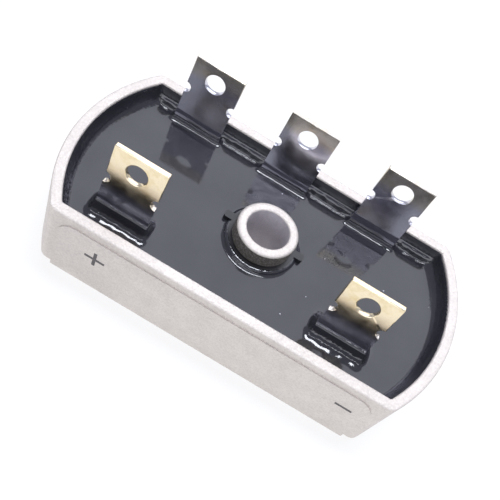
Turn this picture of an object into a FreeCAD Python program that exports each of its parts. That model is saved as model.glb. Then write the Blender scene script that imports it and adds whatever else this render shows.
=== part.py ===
import FreeCAD
import Part
import math
import os

from FreeCAD import Vector

# Three phase bridge rectifier module: an aluminium tray with a screw tube
# through its middle, three AC blades along the rear, a plus and a minus blade
# along the front, and six diode dies under a black potting compound.
# Frame, in millimetres: origin on the tube's axis in the mounting face,
# +X along the length, +Z up the tube, -Y the side with the plus and minus blades.

# Driving dimensions
# tray
CASE_LENGTH = 68.0            # over the two rounded ends
CASE_WIDTH = 34.4             # over the two flat sides
CASE_HEIGHT = 14.2
END_RADIUS = 29.2             # plan radius of each rounded end
END_WALL = 1.75
SIDE_WALL = 2.0
FLOOR = 2.6
CORNER_ROUND = 1.6            # upright corners where a flat side meets an end
CAVITY_ROUND = 0.6            # upright corners inside
FOOT_ROUND = 0.7              # lower outer edge
RIM_ROUND = 0.25              # upper outer edge
PAD_DEPTH = 0.25              # raised pad on each flat side
PAD_TOP_DROP = 1.6            # from the rim down to the pad's top edge
PAD_END_ROUND = 3.0

# screw tube
BORE = 7.2
TUBE_WALL = 1.55
TUBE_CHAMFER = 0.3

# insulating sleeve round the tube, with an ear on either side
SLEEVE_WALL = 0.65
SLEEVE_ABOVE_POTTING = 0.9
EAR_REACH = 1.5
EAR_WIDTH = 1.4
EAR_OFFSET = 0.7              # the ears stand a little behind the tube's middle
EAR_HEIGHT = 3.0

# potting compound
POTTING_TOP = 10.5            # above the mounting face
WALL_CREEP = 0.55             # radius of the compound where it climbs the tray's wall
BLADE_CREEP = 2.0             # radius of the compound where it climbs a blade
SLEEVE_CREEP = 0.8
CREEP_END = 0.04              # thickness left where the climbing compound ends

# blades
BLADE_WIDTH = 8.8
BLADE_THICK = 0.9             # of the sheet that the plates and bars are cut from too
BLADE_RISE = 11.3             # from the bend to the tip, along the blade
HOLE_RISE = 8.2               # from the bend to the hole's centre, along the blade
HOLE_DIA = 3.5
NOTCH_RISE = 4.9              # from the bend to the centre of the two side notches
NOTCH_RADIUS = 0.95
BEND_SOFTNESS = 2.5           # radius of the slight bend
NECK_WIDTH = 6.6              # blade width inside the compound
FOLD_RADIUS = 1.0             # inner radius of the fold at a plate
REAR_FACE_INSET = 2.0         # from the tray's rear inner wall to the AC blades' front face
PLUS_FACE_INSET = 4.9         # from the front inner wall to the plus blade's front face
MINUS_FACE_INSET = 6.0        # the same for the minus blade

# diode stack, from the tray's floor upwards
CERAMIC_END_GAP = 6.6         # from the tray's outer end to the ceramic's end
CERAMIC_THICK = 0.8
CERAMIC_WALL_GAP = 0.4        # to the tray's flat sides
PLATE_GAP = 2.9               # between neighbouring AC plates
PLATE_FRONT_INSET = 1.8       # from the front inner wall to the plates' front edge
PLATE_ROUND = 0.6
SLEEVE_GAP = 0.4              # round the sleeve, to the ceramic and the plates
DIE_SHARE = 0.73              # of the room between the sleeve and the blades' folds
DIE_THICK = 0.9
DIE_EDGE = 0.2                # from a plate's front edge to its front die
BAR_EDGE = 0.3                # the minus bar is this much narrower than its dies, each side
BAR_GAP = 0.9                 # between the plus bar's end and the minus blade's foot
ARM_WIDTH = 3.6
ARM_END_GAP = 7.4             # from the tray's outer end to the arm's centre line

# blade places along the tray, as shares of its length
AC_SHARES = (-0.2816, -0.0272, 0.2309)
PLUS_SHARE = -0.2978
MINUS_SHARE = 0.2618
# each blade's lean in degrees, and the height of its bend above the mounting face
AC_BENDS = ((6.0, 12.9), (9.0, 12.75), (8.0, 13.5))
PLUS_BEND = (8.0, 12.3)
MINUS_BEND = (10.5, 12.1)

# Worked-out places
END_CENTRE = CASE_LENGTH / 2 - END_RADIUS
CAVITY_HALF = CASE_WIDTH / 2 - SIDE_WALL
TUBE_RADIUS = BORE / 2 + TUBE_WALL
SLEEVE_RADIUS = TUBE_RADIUS + SLEEVE_WALL
SLEEVE_ROOM = SLEEVE_RADIUS + SLEEVE_GAP
SLEEVE_TOP = POTTING_TOP + SLEEVE_ABOVE_POTTING
PLATE_Z = FLOOR + CERAMIC_THICK
DIE_Z = PLATE_Z + BLADE_THICK
BAR_Z = DIE_Z + DIE_THICK
FOLD_OUTER = FOLD_RADIUS + BLADE_THICK
REAR_FACE_Y = CAVITY_HALF - REAR_FACE_INSET
REAR_BACK_Y = REAR_FACE_Y + BLADE_THICK
PLUS_FACE_Y = PLUS_FACE_INSET - CAVITY_HALF
MINUS_FACE_Y = MINUS_FACE_INSET - CAVITY_HALF
AC_X = [share * CASE_LENGTH for share in AC_SHARES]
PLUS_BLADE_X = PLUS_SHARE * CASE_LENGTH
MINUS_BLADE_X = MINUS_SHARE * CASE_LENGTH
PLATE_WIDTH = (AC_X[2] - AC_X[0]) / 2 - PLATE_GAP
PLATE_FRONT_Y = PLATE_FRONT_INSET - CAVITY_HALF
REAR_ROOM_END = REAR_BACK_Y - FOLD_OUTER
DIE_SIDE = DIE_SHARE * (REAR_ROOM_END - SLEEVE_ROOM)
REAR_DIE_Y = (REAR_ROOM_END + SLEEVE_ROOM) / 2
FRONT_BAR_Y = PLATE_FRONT_Y + DIE_EDGE
FRONT_DIE_Y = FRONT_BAR_Y + DIE_SIDE / 2
PLUS_BAR_END = MINUS_BLADE_X - NECK_WIDTH / 2 - BAR_GAP
FRONT_DIE_X = [AC_X[0] + 0.3 * PLATE_WIDTH, AC_X[1] - 0.27 * PLATE_WIDTH,
               PLUS_BAR_END - DIE_SIDE / 2]
BAR_WIDTH = DIE_SIDE - 2 * BAR_EDGE
ARM_X = CASE_LENGTH / 2 - ARM_END_GAP


def oval(half_width, end_radius):
    """Plan outline: two arcs about points on the X axis, cut by two flat sides."""
    x_flat = END_CENTRE + math.sqrt(end_radius ** 2 - half_width ** 2)
    x_end = END_CENTRE + end_radius
    corner = [Vector(x_flat, half_width, 0), Vector(x_flat, -half_width, 0),
              Vector(-x_flat, -half_width, 0), Vector(-x_flat, half_width, 0)]
    edges = [Part.Arc(corner[0], Vector(x_end, 0, 0), corner[1]).toShape(),
             Part.makeLine(corner[1], corner[2]),
             Part.Arc(corner[2], Vector(-x_end, 0, 0), corner[3]).toShape(),
             Part.makeLine(corner[3], corner[0])]
    return Part.Wire(edges)


def prism(wire, z_low, z_high):
    face = Part.Face(wire)
    face.translate(Vector(0, 0, z_low))
    return face.extrude(Vector(0, 0, z_high - z_low))


def cylinder(radius, z_low, z_high, x=0.0, y=0.0):
    return Part.makeCylinder(radius, z_high - z_low, Vector(x, y, z_low))


def block(x_low, x_high, y_low, y_high, z_low, z_high):
    size = (x_high - x_low, y_high - y_low, z_high - z_low)
    return Part.makeBox(*size, Vector(x_low, y_low, z_low))


def upright_edges(shape):
    """The straight edges parallel to Z."""
    def is_upright(edge):
        ends = [v.Point for v in edge.Vertexes]
        return (len(ends) == 2 and abs(ends[0].x - ends[1].x) < 1e-6
                and abs(ends[0].y - ends[1].y) < 1e-6)
    return [e for e in shape.Edges if is_upright(e)]


def edges_at(shape, z):
    """The edges that lie in the level plane at height z."""
    return [e for e in shape.Edges
            if abs(e.BoundBox.ZMin - z) < 1e-6 and abs(e.BoundBox.ZMax - z) < 1e-6]


def rounded_block(half_width, end_radius, corner, z_low, z_high):
    solid = prism(oval(half_width, end_radius), z_low, z_high)
    return solid.makeFillet(corner, upright_edges(solid))


def cavity(z_low, z_high):
    return rounded_block(CAVITY_HALF, END_RADIUS - END_WALL,
                         CAVITY_ROUND, z_low, z_high)


# Tray
def side_pad(side):
    """Shallow pad on a flat side: round upper corners, open at the foot."""
    half = math.sqrt(END_RADIUS ** 2 - (CASE_WIDTH / 2) ** 2) + END_CENTRE - CORNER_ROUND
    top = CASE_HEIGHT - PAD_TOP_DROP
    y_root = side * (CASE_WIDTH / 2 - PAD_DEPTH)
    pad = block(-half, half, min(y_root, y_root + side * PAD_DEPTH),
                max(y_root, y_root + side * PAD_DEPTH), 0, top)
    ends = [e for e in pad.Edges
            if abs(e.BoundBox.ZMin - top) < 1e-6 and e.BoundBox.XLength < 1e-6]
    return pad.makeFillet(PAD_END_ROUND, ends)


def make_case():
    body = rounded_block(CASE_WIDTH / 2 - PAD_DEPTH, END_RADIUS, CORNER_ROUND, 0, CASE_HEIGHT)
    body = body.makeFillet(RIM_ROUND, edges_at(body, CASE_HEIGHT))
    body = body.makeFillet(FOOT_ROUND, edges_at(body, 0))
    body = body.fuse([side_pad(1), side_pad(-1)])
    body = body.cut(cavity(FLOOR, CASE_HEIGHT + 1))
    tube = cylinder(TUBE_RADIUS, 0, CASE_HEIGHT)
    tube = tube.makeChamfer(TUBE_CHAMFER, edges_at(tube, CASE_HEIGHT))
    bore = cylinder(BORE / 2, -1, CASE_HEIGHT + 1)
    return body.fuse(tube).cut(bore).removeSplitter()


def make_sleeve():
    sleeve = cylinder(SLEEVE_RADIUS, FLOOR, SLEEVE_TOP)
    reach = SLEEVE_RADIUS + EAR_REACH
    ears = block(-reach, reach, EAR_OFFSET - EAR_WIDTH / 2, EAR_OFFSET + EAR_WIDTH / 2,
                 SLEEVE_TOP - EAR_HEIGHT, SLEEVE_TOP)
    ears = ears.makeFillet(EAR_WIDTH / 3, upright_edges(ears))
    return sleeve.fuse(ears).cut(cylinder(TUBE_RADIUS, 0, CASE_HEIGHT)).removeSplitter()


# Blades and bars
def make_blade(x, face_y, bend, z_root):
    """A folded flat blade: upright from z_root to the bend, then leaning back.
    Its front outline has a narrow neck, two round side notches and a hole."""
    lean, bend_level = math.radians(bend[0]), bend[1]
    along = Vector(0, math.sin(lean), math.cos(lean))
    through = Vector(0, math.cos(lean), -math.sin(lean))
    left = x - BLADE_WIDTH / 2
    bend = Vector(left, face_y, bend_level)
    tip = bend + along * BLADE_RISE
    bend_back = bend + Vector(0, BLADE_THICK, -BLADE_THICK * math.tan(lean / 2))
    profile = [Vector(left, face_y, z_root), bend, tip, tip + through * BLADE_THICK,
               bend_back, Vector(left, face_y + BLADE_THICK, z_root)]
    sheet = Part.Face(Part.makePolygon(profile + profile[:1])).extrude(Vector(BLADE_WIDTH, 0, 0))
    bends = [e for e in sheet.Edges
             if e.BoundBox.XLength > BLADE_WIDTH / 2
             and min(e.CenterOfMass.distanceToPoint(p + Vector(BLADE_WIDTH / 2, 0, 0))
                     for p in (bend, bend_back)) < 1e-6]
    sheet = sheet.makeFillet(BEND_SOFTNESS, bends)

    hole = bend + Vector(BLADE_WIDTH / 2, 0, 0) + along * HOLE_RISE - through * BLADE_THICK
    cuts = [Part.makeCylinder(HOLE_DIA / 2, 3 * BLADE_THICK, hole, through)]
    neck_top = POTTING_TOP - BLADE_CREEP
    for side in (-1, 1):
        edge = Vector(x + side * BLADE_WIDTH / 2, face_y, bend_level)
        notch = edge + along * NOTCH_RISE - through * BLADE_THICK
        cuts.append(Part.makeCylinder(NOTCH_RADIUS, 3 * BLADE_THICK, notch, through))
        flank = sorted((x + side * NECK_WIDTH / 2, x + side * BLADE_WIDTH))
        cuts.append(block(flank[0], flank[1], face_y - BLADE_THICK, face_y + 2 * BLADE_THICK,
                          0, neck_top))
    return sheet.cut(cuts)


def make_fold(x, back_y, z_low):
    """Quarter bend between a level strip and the neck that stands at its rear edge."""
    axis_start = Vector(x - NECK_WIDTH / 2, back_y - FOLD_OUTER, z_low + FOLD_OUTER)
    ring = Part.makeCylinder(FOLD_OUTER, NECK_WIDTH, axis_start, Vector(1, 0, 0))
    ring = ring.cut(Part.makeCylinder(FOLD_RADIUS, NECK_WIDTH, axis_start, Vector(1, 0, 0)))
    return ring.common(block(x - NECK_WIDTH / 2, x + NECK_WIDTH / 2,
                             back_y - FOLD_OUTER, back_y, z_low, z_low + FOLD_OUTER))


def fold_room(x, back_y, z_low):
    """The part of a level strip that a fold takes up."""
    return block(x - NECK_WIDTH / 2, x + NECK_WIDTH / 2,
                 back_y - FOLD_OUTER, back_y + BLADE_THICK, z_low, z_low + BLADE_THICK)


def folded_up(strip, x, face_y, bend, z_low):
    """A level strip with a blade folded up out of its rear edge."""
    back_y = face_y + BLADE_THICK
    return strip.cut(fold_room(x, back_y, z_low)).fuse(
        [make_fold(x, back_y, z_low),
         make_blade(x, face_y, bend, z_low + FOLD_OUTER)]).removeSplitter()


def sleeve_room():
    return cylinder(SLEEVE_ROOM, 0, CASE_HEIGHT)


def make_ceramic():
    half_length = CASE_LENGTH / 2 - CERAMIC_END_GAP
    half_width = CAVITY_HALF - CERAMIC_WALL_GAP
    plate = block(-half_length, half_length, -half_width, half_width, FLOOR, PLATE_Z)
    return plate.makeFillet(2 * PLATE_ROUND, upright_edges(plate)).cut(sleeve_room())


def make_ac_terminal(x, bend):
    """AC plate on the ceramic, with its blade folded up at the rear."""
    half = PLATE_WIDTH / 2
    plate = block(x - half, x + half, PLATE_FRONT_Y, REAR_BACK_Y - FOLD_OUTER, PLATE_Z, DIE_Z)
    plate = plate.makeFillet(PLATE_ROUND, upright_edges(plate)).cut(sleeve_room())
    return folded_up(plate, x, REAR_FACE_Y, bend, PLATE_Z)


def make_die(x, y):
    half = DIE_SIDE / 2
    return block(x - half, x + half, y - half, y + half, DIE_Z, BAR_Z)


def make_plus_bar():
    """Strip over the three front dies, its blade folded up at the left."""
    strip = block(PLUS_BLADE_X - NECK_WIDTH / 2, PLUS_BAR_END, FRONT_BAR_Y,
                  PLUS_FACE_Y + BLADE_THICK, BAR_Z, BAR_Z + BLADE_THICK).cut(sleeve_room())
    return folded_up(strip, PLUS_BLADE_X, PLUS_FACE_Y, PLUS_BEND, BAR_Z)


def make_minus_bar():
    """Strip over the three rear dies, an arm round the right end, and a foot with
    its blade folded up at the front."""
    z_high = BAR_Z + BLADE_THICK
    arm_low, arm_high = ARM_X - ARM_WIDTH / 2, ARM_X + ARM_WIDTH / 2
    spine_y = REAR_DIE_Y + BAR_WIDTH / 2
    spine = block(AC_X[0] - DIE_SIDE / 2, arm_high, REAR_DIE_Y - BAR_WIDTH / 2, spine_y,
                  BAR_Z, z_high).cut(sleeve_room())
    arm = block(arm_low, arm_high, FRONT_BAR_Y, spine_y, BAR_Z, z_high)
    foot = block(MINUS_BLADE_X - NECK_WIDTH / 2, arm_high, FRONT_BAR_Y,
                 MINUS_FACE_Y + BLADE_THICK, BAR_Z, z_high)
    strip = spine.fuse([arm, foot]).removeSplitter()
    return folded_up(strip, MINUS_BLADE_X, MINUS_FACE_Y, MINUS_BEND, BAR_Z)


# Potting compound
def creep_height(radius):
    """Height at which a climbing quarter round has thinned to CREEP_END."""
    return radius - math.sqrt(2 * radius * CREEP_END - CREEP_END ** 2)


def creep_width(radius, height):
    """Width of a climbing quarter round at a height above the compound's level."""
    return radius - math.sqrt(radius ** 2 - (radius - height) ** 2)


def rounded_rectangle(x, y, half_x, half_y, corner, z):
    plate = block(x - half_x, x + half_x, y - half_y, y + half_y, z, z + 1)
    plate = plate.makeFillet(corner, upright_edges(plate))
    bottom = [f for f in plate.Faces if f.BoundBox.ZMax - z < 1e-6][0]
    return bottom.OuterWire


def blade_creep(x, face_y):
    """Hollow-sided skirt of compound round the foot of a blade."""
    rings = []
    for step in range(5):
        height = creep_height(BLADE_CREEP) * (step / 4) ** 1.5
        width = creep_width(BLADE_CREEP, height)
        rings.append(rounded_rectangle(x, face_y + BLADE_THICK / 2,
                                       BLADE_WIDTH / 2 + width, BLADE_THICK / 2 + width,
                                       width * 0.95, POTTING_TOP + height))
    return Part.makeLoft(rings, True, False)


def sleeve_creep():
    """The same round the sleeve, turned about the tube's axis."""
    height = creep_height(SLEEVE_CREEP)
    middle = height / 4
    corners = [Vector(SLEEVE_RADIUS - SLEEVE_WALL, 0, POTTING_TOP),
               Vector(SLEEVE_RADIUS + SLEEVE_CREEP, 0, POTTING_TOP),
               Vector(SLEEVE_RADIUS + creep_width(SLEEVE_CREEP, middle), 0, POTTING_TOP + middle),
               Vector(SLEEVE_RADIUS + CREEP_END, 0, POTTING_TOP + height),
               Vector(SLEEVE_RADIUS - SLEEVE_WALL, 0, POTTING_TOP + height)]
    edges = [Part.makeLine(corners[0], corners[1]),
             Part.Arc(*corners[1:4]).toShape(),
             Part.makeLine(corners[3], corners[4]),
             Part.makeLine(corners[4], corners[0])]
    return Part.Face(Part.Wire(edges)).revolve(Vector(0, 0, 0), Vector(0, 0, 1), 360)


def wall_creep():
    air = cavity(POTTING_TOP, CASE_HEIGHT)
    air = air.makeFillet(WALL_CREEP, edges_at(air, POTTING_TOP))
    return cavity(POTTING_TOP, POTTING_TOP + creep_height(WALL_CREEP)).cut(air)


def make_potting(inner_parts):
    blades = [(x, REAR_FACE_Y) for x in AC_X]
    blades += [(PLUS_BLADE_X, PLUS_FACE_Y), (MINUS_BLADE_X, MINUS_FACE_Y)]
    skirts = [blade_creep(x, y).common(cavity(POTTING_TOP, CASE_HEIGHT)) for x, y in blades]
    fill = cavity(FLOOR, POTTING_TOP).fuse(skirts + [sleeve_creep(), wall_creep()])
    return fill.cut([cylinder(TUBE_RADIUS, 0, CASE_HEIGHT)] + inner_parts).removeSplitter()


# The module
parts = {"tube_sleeve": make_sleeve(),
         "ceramic_insulator": make_ceramic(),
         "plus_bar_terminal": make_plus_bar(),
         "minus_bar_terminal": make_minus_bar()}
for i in range(3):
    leg = str(i + 1)
    parts["ac_terminal_" + leg] = make_ac_terminal(AC_X[i], AC_BENDS[i])
    parts["minus_die_" + leg] = make_die(AC_X[i], REAR_DIE_Y)
    parts["plus_die_" + leg] = make_die(FRONT_DIE_X[i], FRONT_DIE_Y)
parts["potting"] = make_potting(list(parts.values()))
parts["case"] = make_case()

os.makedirs("parts", exist_ok=True)
for name, shape in parts.items():
    shape.exportStep("parts/" + name + ".step")
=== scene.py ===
# %% [markdown]
# # Three phase bridge rectifier module
# A shallow cast aluminium tray holds six diode dies under a dark potting compound.
# Three blades for the AC side stand along the rear, a plus and a minus blade along
# the front, and a screw tube runs through the middle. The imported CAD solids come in
# as a fixed frame, in metres, and everything below dresses them.

# %% Load the frame
import math

import bpy
from mathutils import Matrix, Vector


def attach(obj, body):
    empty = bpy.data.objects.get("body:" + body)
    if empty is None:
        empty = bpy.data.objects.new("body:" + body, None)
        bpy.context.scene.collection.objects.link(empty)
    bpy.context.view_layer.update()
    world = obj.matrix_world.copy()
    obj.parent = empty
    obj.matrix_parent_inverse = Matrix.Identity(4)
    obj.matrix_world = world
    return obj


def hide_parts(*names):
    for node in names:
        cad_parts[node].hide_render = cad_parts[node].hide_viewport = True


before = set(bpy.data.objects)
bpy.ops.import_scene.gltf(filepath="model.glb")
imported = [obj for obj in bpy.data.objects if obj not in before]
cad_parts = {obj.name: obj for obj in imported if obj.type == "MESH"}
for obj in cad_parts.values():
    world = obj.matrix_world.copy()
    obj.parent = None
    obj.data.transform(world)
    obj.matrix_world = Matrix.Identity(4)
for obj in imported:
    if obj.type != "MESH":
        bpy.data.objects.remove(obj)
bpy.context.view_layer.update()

MM = 0.001

# %% [markdown]
# ## Camera
# The photograph looks down on the module's front from 53.6 degrees above the
# horizon, with the picture turned by 33 degrees. The camera's matrix is built from
# those angles rather than by aiming at an empty, so each angle can be read and
# changed on its own.

# %% Camera
ELEVATION = math.radians(53.55)
YAW = math.radians(-2.42)
ROLL = math.radians(33.03)
CAMERA_PLACE = Vector((-3.956, -69.548, 101.270)) * MM

back = Vector((math.sin(YAW) * math.cos(ELEVATION), -math.cos(YAW) * math.cos(ELEVATION),
               math.sin(ELEVATION)))
level = Vector((math.cos(YAW), math.sin(YAW), 0.0))
above = back.cross(level)
right = level * math.cos(ROLL) + above * math.sin(ROLL)
upward = above * math.cos(ROLL) - level * math.sin(ROLL)

camera_data = bpy.data.cameras.new("camera")
camera_data.lens = 51.21
camera_data.sensor_width = 36.0
camera_data.shift_x = 0.0031
camera_data.shift_y = -0.0028
camera_data.clip_start = 0.005
camera_data.clip_end = 10.0
camera = bpy.data.objects.new("camera", camera_data)
bpy.context.scene.collection.objects.link(camera)
turn = Matrix((right, upward, back)).transposed().to_4x4()
camera.matrix_world = Matrix.Translation(CAMERA_PLACE) @ turn
bpy.context.scene.camera = camera
print("camera", [round(v / MM, 1) for v in CAMERA_PLACE], "lens", camera_data.lens)

# %% [markdown]
# ## Helpers
# A hex colour is how a screen shows a finish, and a shader works in linear light,
# so one function turns the first into the second. A second adds one node with its
# settings and links, and a third starts an empty material with its output.

# %% Helpers for materials
def colour(hex_code):
    """An sRGB hex colour as linear red, green, blue and alpha."""
    parts = [int(hex_code[i:i + 2], 16) / 255 for i in (1, 3, 5)]
    linear = [p / 12.92 if p <= 0.04045 else ((p + 0.055) / 1.055) ** 2.4 for p in parts]
    return (*linear, 1.0)


def add_node(tree, kind, settings=None, links=None):
    """Adds a node, sets its properties or input sockets, and links its inputs."""
    node = tree.nodes.new(kind)
    for key, value in (settings or {}).items():
        if isinstance(key, str) and hasattr(node, key):
            setattr(node, key, value)
        else:
            node.inputs[key].default_value = value
    for key, source in (links or {}).items():
        tree.links.new(source, node.inputs[key])
    return node


def new_material(name):
    """An empty node material, its tree and its output node."""
    material = bpy.data.materials.new(name)
    material.use_nodes = True
    tree = material.node_tree
    tree.nodes.clear()
    return material, tree, tree.nodes.new("ShaderNodeOutputMaterial")


def per_mm(size):
    """Texture scale for a pattern whose parts are this many millimetres across."""
    return 1.0 / (size * MM)


# %% [markdown]
# ## Blasted cast aluminium
# The tray and its tube are die-cast aluminium, blasted with fine beads. That gives a
# pale, flat sheen with no clear reflections, a fine grain along every face, and
# slightly cloudy patches. Two noises make it: one of bead size, which dents the
# surface and shifts its gloss, and one of casting size, which shifts its colour.
# The tube's wall is coloured a darker, browner grey in patches below its top edge, and its
# bore a plainer grey. The shader tells them apart by their radius.

# %% Blasted aluminium
TUBE_REACH = 5.6
BORE_REACH = 4.0
TUBE_TOP = 14.12
TUBE_TINT_TOP = 13.80


def blasted_aluminium():
    """Pale beaded metal, coloured a darker brown grey on the tube's wall and grey in the
    bore.
    """
    material, tree, output = new_material("blasted_cast_aluminium")
    place = add_node(tree, "ShaderNodeTexCoord").outputs["Object"]
    # beads of about 0.1 mm leave dents, drawn at 0.3 mm so that they show
    dents = add_node(tree, "ShaderNodeTexNoise", {"Scale": per_mm(0.30), "Detail": 3.0,
                                                  "Roughness": 0.6}, {"Vector": place})
    clouds = add_node(tree, "ShaderNodeTexNoise", {"Scale": per_mm(3.5), "Detail": 4.0},
                      {"Vector": place})
    tint = add_node(tree, "ShaderNodeValToRGB", {}, {"Fac": clouds.outputs["Fac"]})
    tint.color_ramp.elements[0].position = 0.30
    tint.color_ramp.elements[0].color = colour("#DCD6D0")
    tint.color_ramp.elements[1].position = 0.70
    tint.color_ramp.elements[1].color = colour("#E3DDD7")
    speckle = add_node(tree, "ShaderNodeMapRange", {"From Min": 0.35, "From Max": 0.70,
                                                    "To Min": 1.0, "To Max": 0.90},
                       {"Value": dents.outputs["Fac"]})
    body = add_node(tree, "ShaderNodeVectorMath", {"operation": "SCALE"},
                    {0: tint.outputs["Color"], "Scale": speckle.outputs["Result"]})
    axis = add_node(tree, "ShaderNodeSeparateXYZ", {}, {"Vector": place})
    plan = add_node(tree, "ShaderNodeCombineXYZ", {}, {"X": axis.outputs["X"],
                                                       "Y": axis.outputs["Y"]})
    radius = add_node(tree, "ShaderNodeVectorMath", {"operation": "LENGTH"},
                      {0: plan.outputs[0]})
    # the tube's wall is coloured a darker brown grey and its bore a plainer grey, fading in
    # below the tube's top
    near_tube = add_node(tree, "ShaderNodeMath",
                         {"operation": "LESS_THAN", 1: TUBE_REACH * MM},
                         {0: radius.outputs["Value"]})
    below_top = add_node(tree, "ShaderNodeMapRange", {"From Min": TUBE_TOP * MM,
                                                      "From Max": TUBE_TINT_TOP * MM},
                         {"Value": axis.outputs["Z"]})
    overlay = add_node(tree, "ShaderNodeMath", {"operation": "MULTIPLY"},
                    {0: near_tube.outputs[0], 1: below_top.outputs["Result"]})
    patchy = add_node(tree, "ShaderNodeMapRange", {"From Min": 0.40, "From Max": 0.58,
                                                   "To Min": 0.72, "To Max": 1.0},
                      {"Value": dents.outputs["Fac"]})
    overlay = add_node(tree, "ShaderNodeMath", {"operation": "MULTIPLY"},
                    {0: overlay.outputs[0], 1: patchy.outputs["Result"]})
    in_bore = add_node(tree, "ShaderNodeMath",
                       {"operation": "LESS_THAN", 1: BORE_REACH * MM},
                       {0: radius.outputs["Value"]})
    tube_tint = add_node(tree, "ShaderNodeMix", {"data_type": "RGBA", 6: colour("#7B766E"),
                                                 7: colour("#CDC9CE")},
                         {0: in_bore.outputs[0]})
    body = add_node(tree, "ShaderNodeMix", {"data_type": "RGBA"},
                    {0: overlay.outputs[0], 6: body.outputs[0], 7: tube_tint.outputs[2]})
    gloss = add_node(tree, "ShaderNodeMapRange", {"To Min": 0.66, "To Max": 0.82},
                     {"Value": dents.outputs["Fac"]})
    bump = add_node(tree, "ShaderNodeBump", {"Strength": 1.0, "Distance": 0.065 * MM},
                    {"Height": dents.outputs["Fac"]})
    shader = add_node(tree, "ShaderNodeBsdfPrincipled", {"Metallic": 1.0},
                      {"Base Color": body.outputs[2], "Roughness": gloss.outputs["Result"],
                       "Normal": bump.outputs["Normal"]})
    tree.links.new(shader.outputs["BSDF"], output.inputs["Surface"])
    return material


# %% [markdown]
# ## Tinned brass
# The blades are punched from brass sheet and tin plated. Tin over brass keeps a warm
# cast, and the rolled sheet has a soft mirror with faint lines along the blade, a
# few darker stains where it was handled, and a slightly uneven plating. One tin comes
# in a lit copy, warm and bright, for the front bars, and a shaded copy, cooler and
# duller, for the three rear blades, as painted shade and reflection. Low on each blade
# the tin is painted cool grey up to a ragged line, a painted reflection of the dark
# compound and room.

# %% Tinned brass
RAGGED_EDGE = 1.6


def tinned_brass(name, stained, clean, painted_grey_below):
    """Tin plate in two stain tints, painted cool grey below a height given in mm as a painted
    reflection.
    """
    material, tree, output = new_material(name)
    place = add_node(tree, "ShaderNodeTexCoord").outputs["Object"]
    # rolling lines run up the blade, 0.25 mm apart and 6 mm long, coarse enough to show
    stretch = add_node(tree, "ShaderNodeMapping", {}, {"Vector": place})
    stretch.inputs["Scale"].default_value = (per_mm(0.25), per_mm(3.0), per_mm(6.0))
    lines = add_node(tree, "ShaderNodeTexNoise", {"Scale": 1.0, "Detail": 3.0},
                     {"Vector": stretch.outputs["Vector"]})
    stains = add_node(tree, "ShaderNodeTexNoise", {"Scale": per_mm(2.2), "Detail": 5.0,
                                                   "Roughness": 0.6}, {"Vector": place})
    tint = add_node(tree, "ShaderNodeValToRGB", {}, {"Fac": stains.outputs["Fac"]})
    tint.color_ramp.elements[0].position = 0.28
    tint.color_ramp.elements[0].color = colour(stained)
    tint.color_ramp.elements[1].position = 0.55
    tint.color_ramp.elements[1].color = colour(clean)
    axis = add_node(tree, "ShaderNodeSeparateXYZ", {}, {"Vector": place})
    ragged = add_node(tree, "ShaderNodeMath",
                      {"operation": "MULTIPLY_ADD", 1: RAGGED_EDGE * MM},
                      {0: stains.outputs["Fac"], 2: axis.outputs["Z"]})
    # painted reflection: below a ragged line the tin is tinted cool grey, standing in for the
    # dark compound and room it mirrors
    grey = add_node(tree, "ShaderNodeMapRange",
                    {"From Min": (painted_grey_below + RAGGED_EDGE) * MM,
                     "From Max": painted_grey_below * MM},
                    {"Value": ragged.outputs[0]})
    tint = add_node(tree, "ShaderNodeMix", {"data_type": "RGBA", 7: colour("#D4D3DE")},
                    {0: grey.outputs["Result"], 6: tint.outputs["Color"]})
    gloss = add_node(tree, "ShaderNodeMapRange", {"From Min": 0.3, "From Max": 0.7,
                                                  "To Min": 0.13, "To Max": 0.24},
                     {"Value": stains.outputs["Fac"]})
    waves = add_node(tree, "ShaderNodeTexNoise", {"Scale": per_mm(1.6), "Detail": 2.0},
                     {"Vector": place})
    relief = add_node(tree, "ShaderNodeMath", {"operation": "MULTIPLY_ADD", 1: 0.35},
                      {0: lines.outputs["Fac"], 2: waves.outputs["Fac"]})
    bump = add_node(tree, "ShaderNodeBump", {"Strength": 1.0, "Distance": 0.010 * MM},
                    {"Height": relief.outputs[0]})
    shader = add_node(tree, "ShaderNodeBsdfPrincipled", {"Metallic": 1.0},
                      {"Base Color": tint.outputs[2], "Roughness": gloss.outputs["Result"],
                       "Normal": bump.outputs["Normal"]})
    tree.links.new(shader.outputs["BSDF"], output.inputs["Surface"])
    return material


# %% [markdown]
# ## Potting compound
# A black epoxy is poured in liquid and cures to a smooth, glossy surface. It looks
# grey where it mirrors the lamps and almost black where it turns away from them.
# Dust settles on it as a few pale specks. The flat part is calm, and the part that
# climbs the metal is a little wrinkled, which breaks up its thin highlights.

# %% Potting compound
POTTING_LEVEL = 10.5


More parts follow.
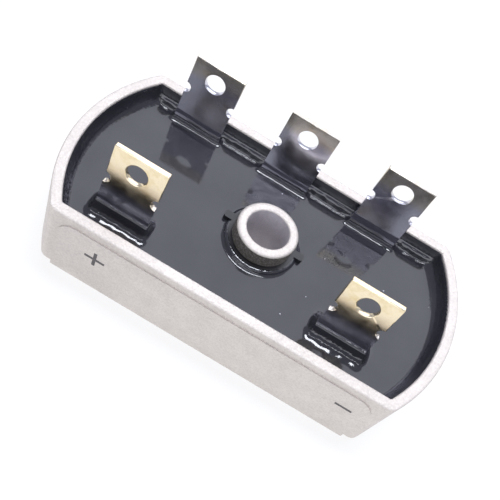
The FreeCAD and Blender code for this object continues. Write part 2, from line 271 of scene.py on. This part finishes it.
def potting_epoxy():
    """Glossy black resin: calm where it lies flat, wrinkled where it climbs."""
    material, tree, output = new_material("poured_black_epoxy")
    place = add_node(tree, "ShaderNodeTexCoord").outputs["Object"]
    height = add_node(tree, "ShaderNodeSeparateXYZ", {}, {"Vector": place})
    climb = add_node(tree, "ShaderNodeMapRange", {"From Min": (POTTING_LEVEL + 0.04) * MM,
                                                  "From Max": (POTTING_LEVEL + 0.5) * MM},
                     {"Value": height.outputs["Z"]})
    # at most one speck of dust per 3 mm cell, 0.2 mm across, kept in four cells of ten
    cells = add_node(tree, "ShaderNodeTexVoronoi", {"Scale": per_mm(2.8), "Randomness": 1.0},
                     {"Vector": place})
    chance = add_node(tree, "ShaderNodeSeparateColor", {}, {"Color": cells.outputs["Color"]})
    kept = add_node(tree, "ShaderNodeMath", {"operation": "GREATER_THAN", 1: 0.60},
                    {0: chance.outputs["Red"]})
    speck = add_node(tree, "ShaderNodeMath", {"operation": "LESS_THAN", 1: 0.036},
                     {0: cells.outputs["Distance"]})
    dust = add_node(tree, "ShaderNodeMath", {"operation": "MULTIPLY"},
                    {0: kept.outputs[0], 1: speck.outputs[0]})
    clouds = add_node(tree, "ShaderNodeTexNoise", {"Scale": per_mm(9.0), "Detail": 3.0},
                      {"Vector": place})
    body = add_node(tree, "ShaderNodeValToRGB", {}, {"Fac": clouds.outputs["Fac"]})
    body.color_ramp.elements[0].position = 0.3
    body.color_ramp.elements[0].color = colour("#232328")
    body.color_ramp.elements[1].position = 0.7
    body.color_ramp.elements[1].color = colour("#2E2E33")
    overlay = add_node(tree, "ShaderNodeMix", {"data_type": "RGBA", 7: colour("#C4C4CC")},
                    {0: dust.outputs[0], 6: body.outputs["Color"]})
    swell = add_node(tree, "ShaderNodeTexNoise", {"Scale": per_mm(7.0), "Detail": 1.0},
                     {"Vector": place})
    wrinkle = add_node(tree, "ShaderNodeTexNoise", {"Scale": per_mm(0.8), "Detail": 3.0},
                       {"Vector": place})
    wrinkles = add_node(tree, "ShaderNodeMath", {"operation": "MULTIPLY"},
                        {0: wrinkle.outputs["Fac"], 1: climb.outputs["Result"]})
    calm = add_node(tree, "ShaderNodeBump", {"Strength": 1.0, "Distance": 0.030 * MM},
                    {"Height": swell.outputs["Fac"]})
    bump = add_node(tree, "ShaderNodeBump", {"Strength": 1.0, "Distance": 0.055 * MM},
                    {"Height": wrinkles.outputs[0], "Normal": calm.outputs["Normal"]})
    gloss = add_node(tree, "ShaderNodeMapRange", {"To Min": 0.05, "To Max": 0.10},
                     {"Value": clouds.outputs["Fac"]})
    shader = add_node(tree, "ShaderNodeBsdfPrincipled", {"IOR": 1.58},
                      {"Base Color": overlay.outputs[2], "Roughness": gloss.outputs["Result"],
                       "Normal": bump.outputs["Normal"]})
    tree.links.new(shader.outputs["BSDF"], output.inputs["Surface"])
    return material


# %% [markdown]
# ## The finishes that show little
# The sleeve round the tube is moulded black nylon, satin with a faint flow pattern.
# The ceramic plate is pressed alumina, chalky with a fine grain. The dies are
# silicon under solder, a cool grey half mirror. The ink of the marks is matt and
# close to black. The plate and the dies are inside the compound, and are finished
# for anyone who takes the module apart.

# %% Nylon, alumina, silicon and ink
def grained(name, dark, light, grain, depth, **settings):
    """A solid finish: two close colours in a grain of a real size, with its relief."""
    material, tree, output = new_material(name)
    place = add_node(tree, "ShaderNodeTexCoord").outputs["Object"]
    noise = add_node(tree, "ShaderNodeTexNoise", {"Scale": per_mm(grain), "Detail": 4.0},
                     {"Vector": place})
    body = add_node(tree, "ShaderNodeValToRGB", {}, {"Fac": noise.outputs["Fac"]})
    body.color_ramp.elements[0].position = 0.3
    body.color_ramp.elements[0].color = colour(dark)
    body.color_ramp.elements[1].position = 0.7
    body.color_ramp.elements[1].color = colour(light)
    bump = add_node(tree, "ShaderNodeBump", {"Strength": 1.0, "Distance": depth * MM},
                    {"Height": noise.outputs["Fac"]})
    shader = add_node(tree, "ShaderNodeBsdfPrincipled", settings,
                      {"Base Color": body.outputs["Color"], "Normal": bump.outputs["Normal"]})
    tree.links.new(shader.outputs["BSDF"], output.inputs["Surface"])
    return material


nylon = grained("moulded_black_nylon", "#141416", "#1F1F22", 0.8, 0.02,
                Roughness=0.28, IOR=1.53)
alumina = grained("pressed_alumina", "#E8E6E0", "#F4F3EF", 0.4, 0.015, Roughness=0.55)
silicon = grained("soldered_silicon", "#3C4048", "#565A62", 0.9, 0.01,
                  Roughness=0.3, Metallic=1.0)
ink = grained("pad_printed_ink", "#3F3B3C", "#55504F", 0.35, 0.01, Roughness=0.5)
print("plain finishes", [m.name for m in (nylon, alumina, silicon, ink)])

# %% [markdown]
# ## A finish for every solid
# Each CAD node's own slot gets its finish, also where a finer piece stands for the
# node further down, so that no solid is left with a plain colour.

# %% Finishes on the solids
aluminium, epoxy = blasted_aluminium(), potting_epoxy()
# painted shade and reflection: a lit copy of the tin for the front bars and a cooler, duller
# shaded copy for the rear blades, whose painted grey also reaches higher
lit_tin = tinned_brass("tinned_brass_lit_copy", "#E6D3A8", "#F6E8C9", 16.0)
shaded_tin = tinned_brass("tinned_brass_shaded_copy", "#CFC4AC", "#E2DCD2", 21.0)

for name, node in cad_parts.items():
    if "terminal" in name:
        finish = shaded_tin if name.startswith("ac") else lit_tin
    elif "_die_" in name:
        finish = silicon
    else:
        finish = {"case": aluminium, "tube_sleeve": nylon, "potting": epoxy,
                  "ceramic_insulator": alumina}[name]
    node.data.materials.clear()
    node.data.materials.append(finish)
print("finishes on", len(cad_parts), "nodes")


# %% [markdown]
# ## The compound's surface
# Liquid epoxy climbs whatever it touches: high up the tray's wall, and in a hollow
# skirt round each blade and round the sleeve. The CAD solid has that shape in plain
# quarter rounds, and here it gets the soft curve that a liquid takes, steep at the
# metal and dying away over a few millimetres. A fine grid is the start, a vertex
# group holds how far each point climbs, and a Displace modifier raises it. A hand
# sculpt would never meet the blades so evenly. The blades' feet are measured from
# their solids first.

# %% Measures of what stands in the compound
CAVITY_HALF = 15.2
CAVITY_END_RADIUS = 27.45
END_CENTRE = 4.8
SLEEVE_RADIUS = 5.8
SHEET_HALF = 0.45
FOOT_LOW, FOOT_HIGH, BEND_TOP = 10.6, 13.6, 14.0


def foot_of(node):
    """Centre and half sizes of a blade where it leaves the compound, in mm."""
    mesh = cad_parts[node].data
    near = [v.co / MM for v in mesh.vertices if FOOT_LOW < v.co.z / MM < BEND_TOP]
    xs, ys = [p.x for p in near], [p.y for p in near if p.z < FOOT_HIGH]
    return (min(xs) + max(xs)) / 2, min(ys) + SHEET_HALF, (max(xs) - min(xs)) / 2, SHEET_HALF


blade_feet = {name: foot_of(name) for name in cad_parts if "terminal" in name}
for name, foot in blade_feet.items():
    print(name, [round(v, 2) for v in foot])

# %% [markdown]
# A climb is highest at the metal and fades with distance. It fades fast at the rear
# blades and slowly at the front ones, whose climb also has a narrow shelf at the
# metal. A slow wave keeps the edges from being drawn with a ruler, and where two
# climbs meet, the higher one wins with a soft join.

# %% How high the compound climbs
FULL_CLIMB = 3.5
WALL_CLIMB = 3.3
SOFT_JOIN = 3
# height at the blade, fade length, narrowing at the blade's sides, shelf, its tilt
BLADE_CLIMBS = {"ac": (0.60, 0.42, 1.0, 0.00, 0.0),
                "pl": (1.95, 0.60, 2.1, 0.34, 0.24),
                "mi": (1.95, 0.70, 2.1, 0.34, 0.24)}


def fade(distance, full, length, shelf=0.0, tilt=0.0):
    """A climb of a full height at the metal that dies away with distance, in mm."""
    start = full - tilt * min(max(distance, 0.0), shelf)
    return start * math.exp(-max(distance - shelf, 0.0) / length)


def step_down(distance, full, middle, width):
    """A rounded step of a full height whose flank is at a distance from the metal."""
    return full / (1.0 + math.exp(min((distance - middle) / width, 60.0)))


def wander(x, y):
    """A slow wave of about 1, which makes the edge of a climb uneven."""
    return (1.0 + 0.07 * math.sin(0.8 * x + 0.5 * y)
            + 0.03 * math.sin(2.9 * x - 1.7 * y + 1.0))


def climb_at(x, y):
    """How far the compound climbs above its level at a point, in mm."""
    wave = wander(x, y)
    side_wall = CAVITY_HALF - abs(y)
    end_wall = CAVITY_END_RADIUS - math.hypot(abs(x) - END_CENTRE, y)
    parts = [fade(end_wall, WALL_CLIMB, 0.52)]
    if y > 0:
        # the rear wall's film ends in a narrow shelf behind the blades
        shelf = 1.35 - 0.24 * min(max(side_wall, 0.0), 0.9)
        parts.append(fade(side_wall, WALL_CLIMB, 0.11)
                     + step_down(side_wall, shelf, 0.9 * wave, 0.07))
    else:
        parts.append(fade(side_wall, WALL_CLIMB, 0.33 * wave))
    for name, (cx, cy, half_x, half_y) in blade_feet.items():
        full, length, side, shelf, tilt = BLADE_CLIMBS[name[:2]]
        gap = math.hypot(side * max(abs(x - cx) - half_x, 0.0),
                         max(abs(y - cy) - half_y, 0.0))
        parts.append(fade(gap, full, length * wave, shelf, tilt))
    from_sleeve = math.hypot(x, y) - SLEEVE_RADIUS
    parts.append(fade(from_sleeve, 0.62, 0.15 * wave, 0.38, 0.24))
    tail = fade(min(side_wall, end_wall), 0.10, 2.2) + fade(from_sleeve, 0.08, 2.0)
    return min(sum(p ** SOFT_JOIN for p in parts) ** (1 / SOFT_JOIN) + tail, FULL_CLIMB)


# %% [markdown]
# The grid covers the whole cavity and reaches a little into the metal all round, so
# the line where resin meets metal is drawn by the metal itself. Faces further out
# than the middle of the wall, and those inside the tube's wall, are deleted.

# %% Grid over the tray's cavity
def edit(piece):
    """Puts one piece alone in edit mode."""
    bpy.ops.object.select_all(action="DESELECT")
    piece.select_set(True)
    bpy.context.view_layer.objects.active = piece
    bpy.ops.object.mode_set(mode="EDIT")


def select_faces(piece, wanted):
    """Selects the faces whose centre and normal pass a test, in edit mode."""
    bpy.ops.mesh.select_mode(type="FACE")
    bpy.ops.mesh.select_all(action="DESELECT")
    bpy.ops.object.mode_set(mode="OBJECT")
    for polygon in piece.data.polygons:
        polygon.select = wanted(polygon.center / MM, polygon.normal)
    bpy.ops.object.mode_set(mode="EDIT")


GRID_STEP = 0.155
GRID_LENGTH, GRID_WIDTH = 66.0, 31.7
INTO_WALL = 0.55
INTO_TUBE = 4.4

bpy.ops.object.select_all(action="DESELECT")
bpy.ops.mesh.primitive_grid_add(x_subdivisions=round(GRID_LENGTH / GRID_STEP),
                                y_subdivisions=round(GRID_WIDTH / GRID_STEP),
                                size=1.0, location=(0, 0, 0))
potting = bpy.context.object
potting.name = "potting_surface"
edit(potting)
bpy.ops.transform.resize(value=(GRID_LENGTH * MM, GRID_WIDTH * MM, 1.0))
bpy.ops.transform.translate(value=(0, 0, POTTING_LEVEL * MM))


def outside(centre, normal):
    """Too far into the tray's wall, or inside the screw tube."""
    end = math.hypot(abs(centre.x) - END_CENTRE, centre.y)
    return (end > CAVITY_END_RADIUS + INTO_WALL or abs(centre.y) > CAVITY_HALF + INTO_WALL
            or math.hypot(centre.x, centre.y) < INTO_TUBE)


select_faces(potting, outside)
bpy.ops.mesh.delete(type="FACE")
bpy.ops.object.mode_set(mode="OBJECT")
print("compound grid", len(potting.data.polygons), "faces")

# %% [markdown]
# A vertex group holds weights from 0 to 1, so each climb is stored as a share of the
# highest one, and the modifier's strength is that highest climb.

# %% Raise the climbing parts
group = potting.vertex_groups.new(name="climb")
for vertex in potting.data.vertices:
    height = climb_at(vertex.co.x / MM, vertex.co.y / MM)
    group.add([vertex.index], height / FULL_CLIMB, "REPLACE")
rise = potting.modifiers.new("rise", "DISPLACE")
rise.direction = "Z"
rise.mid_level = 0.0
rise.strength = FULL_CLIMB * MM
rise.vertex_group = "climb"
bpy.ops.object.modifier_apply(modifier="rise")
potting.vertex_groups.clear()

# %% [markdown]
# The sheet becomes a solid: its open edges are pulled down to the tray's floor and
# the underside is filled between the outer edge and the tube's. Scaling by zero
# along z lays all the new edge points level.

# %% Close the compound
TRAY_FLOOR = 2.6
PULL_DOWN = 6.0
SMOOTH_BELOW = math.radians(60)
edit(potting)
bpy.ops.mesh.select_mode(type="EDGE")
bpy.ops.mesh.select_all(action="DESELECT")
bpy.ops.mesh.select_non_manifold()
bpy.ops.mesh.extrude_region_move(TRANSFORM_OT_translate={"value": (0, 0, -PULL_DOWN * MM)})
bpy.ops.transform.resize(value=(1, 1, 0), center_override=(0, 0, TRAY_FLOOR * MM))
bpy.ops.mesh.fill(use_beauty=False)
bpy.ops.mesh.select_all(action="SELECT")
bpy.ops.mesh.normals_make_consistent(inside=False)
bpy.ops.object.mode_set(mode="OBJECT")
bpy.ops.object.shade_smooth_by_angle(angle=SMOOTH_BELOW)
potting.data.materials.append(epoxy)
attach(potting, "root")
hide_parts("potting")
print("compound solid", len(potting.data.polygons), "faces")

# %% [markdown]
# ## Blades with their punched edges
# A punch leaves a rounded edge all round the blade, its hole and its notches, and
# that edge is what catches the light. Each blade's solid is copied, its doubled
# points are merged, and a narrow bevel goes along the sharp edges that stand clear
# of the compound. The large faces stay flat shaded, so they mirror as flat sheet.

# %% Copies that can be bevelled
MERGE_GAP = 0.002
COPLANAR = math.radians(0.6)


def finished_copy(node, finish):
    """A merged copy of a CAD node that stands for it, with its finish."""
    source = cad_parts[node]
    piece = bpy.data.objects.new(node + "_finished", source.data.copy())
    bpy.context.scene.collection.objects.link(piece)
    edit(piece)
    bpy.ops.mesh.select_all(action="SELECT")
    bpy.ops.mesh.remove_doubles(threshold=MERGE_GAP * MM)
    bpy.ops.mesh.dissolve_limited(angle_limit=COPLANAR)
    bpy.ops.object.mode_set(mode="OBJECT")
    piece.data.materials.clear()
    piece.data.materials.append(finish)
    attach(piece, "root")
    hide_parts(node)
    return piece


# %% [markdown]
# Blender can select edges by how sharply two faces meet, and a test on height then
# keeps only the wanted ones. A selection made in code has to agree on points, edges
# and faces before edit mode opens, so all three are set.

# %% Rounding the sharp edges
SHARP = math.radians(40)
SMOOTH_ROUND = math.radians(50)
FLAT_AREA = 3.0


def round_edges(piece, width, lowest):
    """Bevels the sharp edges that lie wholly above a height, by a width in mm."""
    edit(piece)
    bpy.ops.mesh.select_mode(type="EDGE")
    bpy.ops.mesh.select_all(action="DESELECT")
    bpy.ops.mesh.edges_select_sharp(sharpness=SHARP)
    bpy.ops.object.mode_set(mode="OBJECT")
    points, edges = piece.data.vertices, piece.data.edges
    chosen = [edge for edge in edges if edge.select
              and all(points[v].co.z / MM > lowest for v in edge.vertices)]
    for group_of in (points, edges, piece.data.polygons):
        for part in group_of:
            part.select = False
    for edge in chosen:
        edge.select = True
        for v in edge.vertices:
            points[v].select = True
    count = len(chosen)
    edit(piece)
    bpy.ops.mesh.bevel(offset=width * MM, segments=2, affect="EDGES",
                       clamp_overlap=True, harden_normals=False)
    bpy.ops.object.mode_set(mode="OBJECT")
    bpy.ops.object.shade_smooth_by_angle(angle=SMOOTH_ROUND)
    for polygon in piece.data.polygons:
        polygon.use_smooth = polygon.area < FLAT_AREA * MM * MM
    print(piece.name, "rounded", count, "edges,", len(piece.data.polygons), "faces")


# %% [markdown]
# The tray's rim and the tube's top are rounded a little more than the blades, as a
# casting that has been blasted is.

# %% Rounded rim and blades
RIM_ROUND, RIM_ABOVE = 0.22, 14.1
PUNCH_ROUND, CLEAR_ABOVE = 0.12, 12.6

tray = finished_copy("case", aluminium)
round_edges(tray, RIM_ROUND, RIM_ABOVE)
for name in blade_feet:
    finish = shaded_tin if name.startswith("ac") else lit_tin
    blade = finished_copy(name, finish)
    round_edges(blade, PUNCH_ROUND, CLEAR_ABOVE)

# %% [markdown]
# ## Polarity marks
# The front face is pad printed with a plus at the left and a minus at the right. A
# print is a few hundredths of a millimetre of ink, so each mark is a thin plate: a
# flat circle with as many points as the mark has corners is moved to the mark's
# outline and pulled forward by the ink's thickness.

# %% Marks on the front face
FACE_Y = -17.2
INK_THICK = 0.02


def plate_from(name, outline):
    """A thin plate on the front face from an outline in mm, x to the right, z up."""
    bpy.ops.object.select_all(action="DESELECT")
    bpy.ops.mesh.primitive_circle_add(vertices=len(outline), radius=1.0, fill_type="NGON",
                                      location=(0, 0, 0))
    piece = bpy.context.object
    piece.name = name
    for vertex, (x, z) in zip(piece.data.vertices, outline):
        vertex.co = (x * MM, FACE_Y * MM, z * MM)
    edit(piece)
    bpy.ops.mesh.select_all(action="SELECT")
    bpy.ops.mesh.extrude_region_move(
        TRANSFORM_OT_translate={"value": (0, -INK_THICK * MM, 0)})
    bpy.ops.mesh.select_all(action="SELECT")
    bpy.ops.mesh.normals_make_consistent(inside=False)
    bpy.ops.object.mode_set(mode="OBJECT")
    piece.data.materials.append(ink)
    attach(piece, "root")
    return piece


PLUS_X, PLUS_Z, PLUS_HALF, PLUS_STROKE = -20.08, 8.05, 1.69, 0.27
MINUS_X, MINUS_Z, MINUS_HALF, MINUS_STROKE = 23.12, 8.33, 1.45, 0.25

# one arm's three corners, then the same three in each of the other quarters
quarter = [(PLUS_HALF, PLUS_STROKE), (PLUS_STROKE, PLUS_STROKE), (PLUS_STROKE, PLUS_HALF)]
plus_corners = []
for side_x, side_z, corners in ((-1, -1, quarter), (1, -1, quarter[::-1]),
                                (1, 1, quarter), (-1, 1, quarter[::-1])):
    plus_corners += [(PLUS_X + side_x * across, PLUS_Z + side_z * up)
                     for across, up in corners]
plate_from("plus_mark", plus_corners)
plate_from("minus_mark", [(MINUS_X + side_x * MINUS_HALF, MINUS_Z + side_z * MINUS_STROKE)
                          for side_x, side_z in ((-1, -1), (1, -1), (1, 1), (-1, 1))])
print("marks at", PLUS_X, "and", MINUS_X, "mm")


# %% [markdown]
# ## Paper floor
# The module lies on white paper. The paper is lit as the object is, and for camera,
# mirror and glass rays most of it is white by itself, so it stays white and still
# holds the shadow.

# %% Floor
FLOOR_SIZE = 60.0
OWN_WHITE = 0.80
bpy.ops.object.select_all(action="DESELECT")
bpy.ops.mesh.primitive_plane_add(size=FLOOR_SIZE, location=(0, 0, 0))
floor = bpy.context.object
floor.name = "paper_floor"
material, tree, output = new_material("white_paper")
ray = add_node(tree, "ShaderNodeLightPath")
seen = add_node(tree, "ShaderNodeMath", {"operation": "MAXIMUM"},
                {0: ray.outputs["Is Camera Ray"], 1: ray.outputs["Is Glossy Ray"]})
seen = add_node(tree, "ShaderNodeMath", {"operation": "MAXIMUM"},
                {0: seen.outputs[0], 1: ray.outputs["Is Transmission Ray"]})
share = add_node(tree, "ShaderNodeMath", {"operation": "MULTIPLY", 1: OWN_WHITE},
                 {0: seen.outputs[0]})
paper = add_node(tree, "ShaderNodeBsdfDiffuse", {"Color": colour("#F2F2F2")})
glow = add_node(tree, "ShaderNodeEmission", {"Color": colour("#FFFFFF"), "Strength": 1.0})
both = add_node(tree, "ShaderNodeMixShader", {},
                {0: share.outputs[0], 1: paper.outputs[0], 2: glow.outputs[0]})
tree.links.new(both.outputs[0], output.inputs["Surface"])
floor.data.materials.append(material)
print("floor", FLOOR_SIZE, "m wide")

# %% [markdown]
# ## Room and lamps
# Glossy resin and tin show whatever stands round them, so the lamps are placed by
# what each surface mirrors. A wide soft lamp behind the module is what the flat
# compound shows as grey. A strip overhead gives the thin white lines at the foot of
# each climb, and a narrow panel beside it lights the third blade's mirror image. A
# wide lamp in front lights the front face and the lower half of the blades. The room
# itself is dim and a little blue, and keeps the steep climbs dark.

# %% World and lamps
world = bpy.data.worlds.new("studio_room")
bpy.context.scene.world = world
world.use_nodes = True
world.node_tree.nodes["Background"].inputs["Color"].default_value = colour("#DDE1F2")
world.node_tree.nodes["Background"].inputs["Strength"].default_value = 0.60


def softbox(name, direction, distance, size, radiance):
    """A rectangular lamp that faces the module, given its brightness as seen."""
    azimuth, elevation = (math.radians(a) for a in direction)
    place = Vector((math.sin(azimuth) * math.cos(elevation),
                    math.cos(azimuth) * math.cos(elevation), math.sin(elevation))) * distance
    data = bpy.data.lights.new(name, "AREA")
    data.shape = "RECTANGLE"
    data.size, data.size_y = size
    data.energy = radiance * math.pi * size[0] * size[1]
    data.color = colour("#F3F6FF")[:3]
    lamp = bpy.data.objects.new(name, data)
    bpy.context.scene.collection.objects.link(lamp)
    lamp.matrix_world = (Matrix.Translation(place)
                         @ (-place).to_track_quat("-Z", "Y").to_matrix().to_4x4())
    print(name, "at", [round(v, 2) for v in place], "radiance", radiance)


softbox("rear_softbox", (6, 44), 0.65, (1.1, 0.46), 1.7)
softbox("overhead_strip", (0, 79), 0.60, (0.28, 0.11), 22.0)
softbox("overhead_panel", (180, 70), 0.60, (0.60, 0.03), 8.0)
softbox("front_fill", (180, 22), 0.90, (1.2, 0.5), 2.6)

bpy.context.scene.view_settings.view_transform = "Standard"
